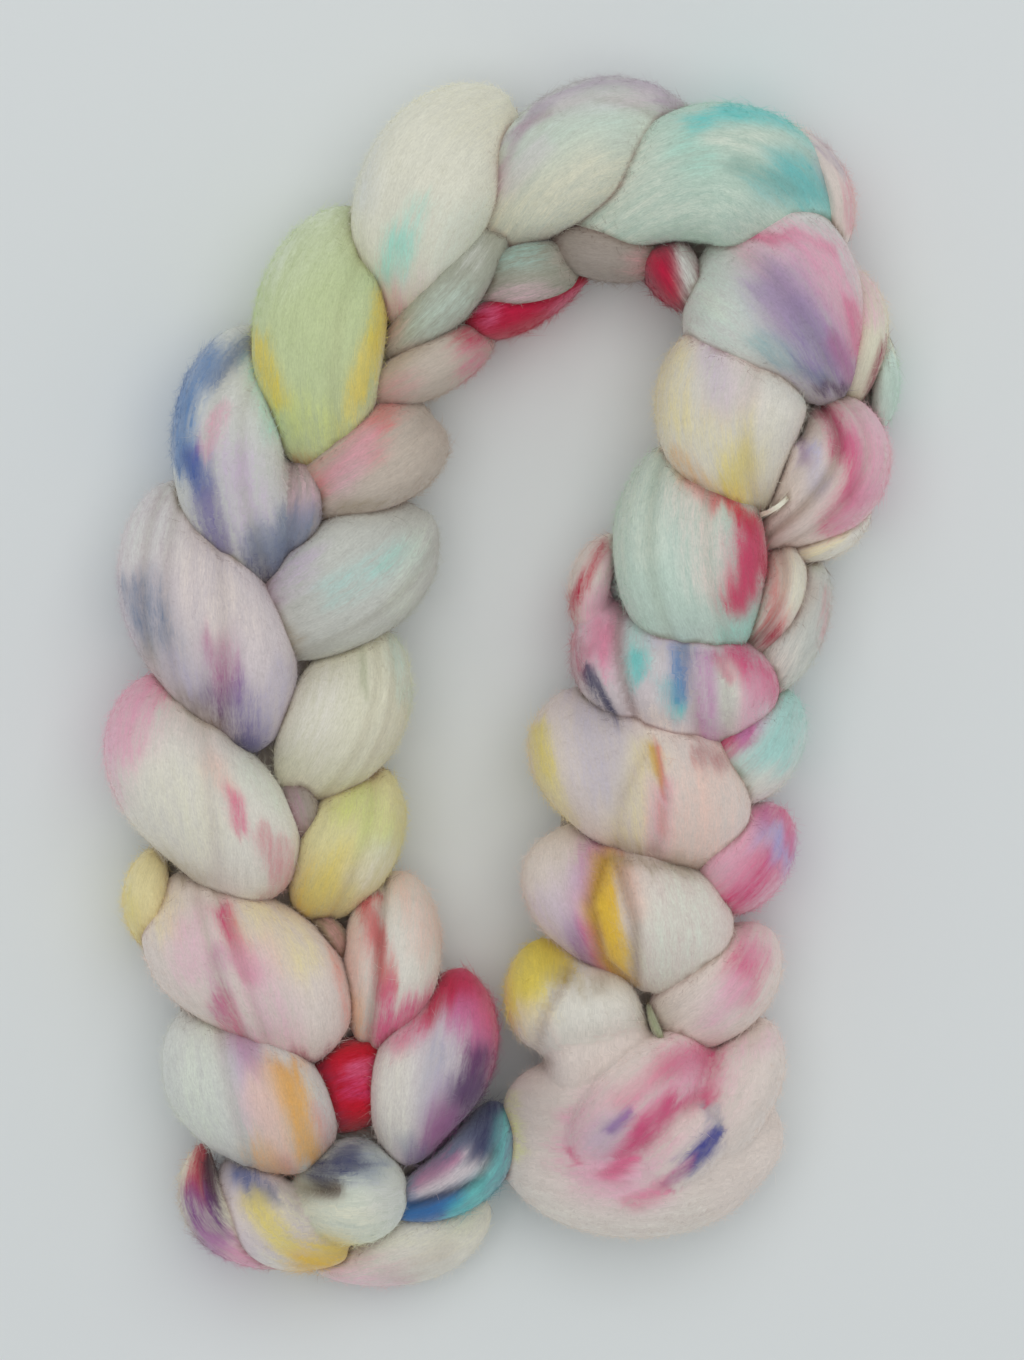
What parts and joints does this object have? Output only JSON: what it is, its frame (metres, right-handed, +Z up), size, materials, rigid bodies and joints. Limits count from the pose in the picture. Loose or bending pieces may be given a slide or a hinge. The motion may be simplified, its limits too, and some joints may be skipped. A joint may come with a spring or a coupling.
{
  "type": "braid of wool roving",
  "caption": "Hand-dyed combed wool roving chained into a thick soft braid and laid down in a horseshoe, with one fluffed-out end.",
  "frame": {"origin": "middle of the braid's base, on the surface it lies on", "axes": "+Z up, +Y from the two ends of the braid towards the bend of the horseshoe, +X across it towards the arm with the fluffed-out end"},
  "size_m": [0.2383, 0.3633, 0.0562],
  "materials": {
    "dyed_wool": "matte combed wool, cream ground with soft dyed patches of pink, crimson, lilac, blue, aqua, green, yellow and peach"
  },
  "bodies": {
    "root": {"braid": "dyed_wool"}
  },
  "joints": []
}
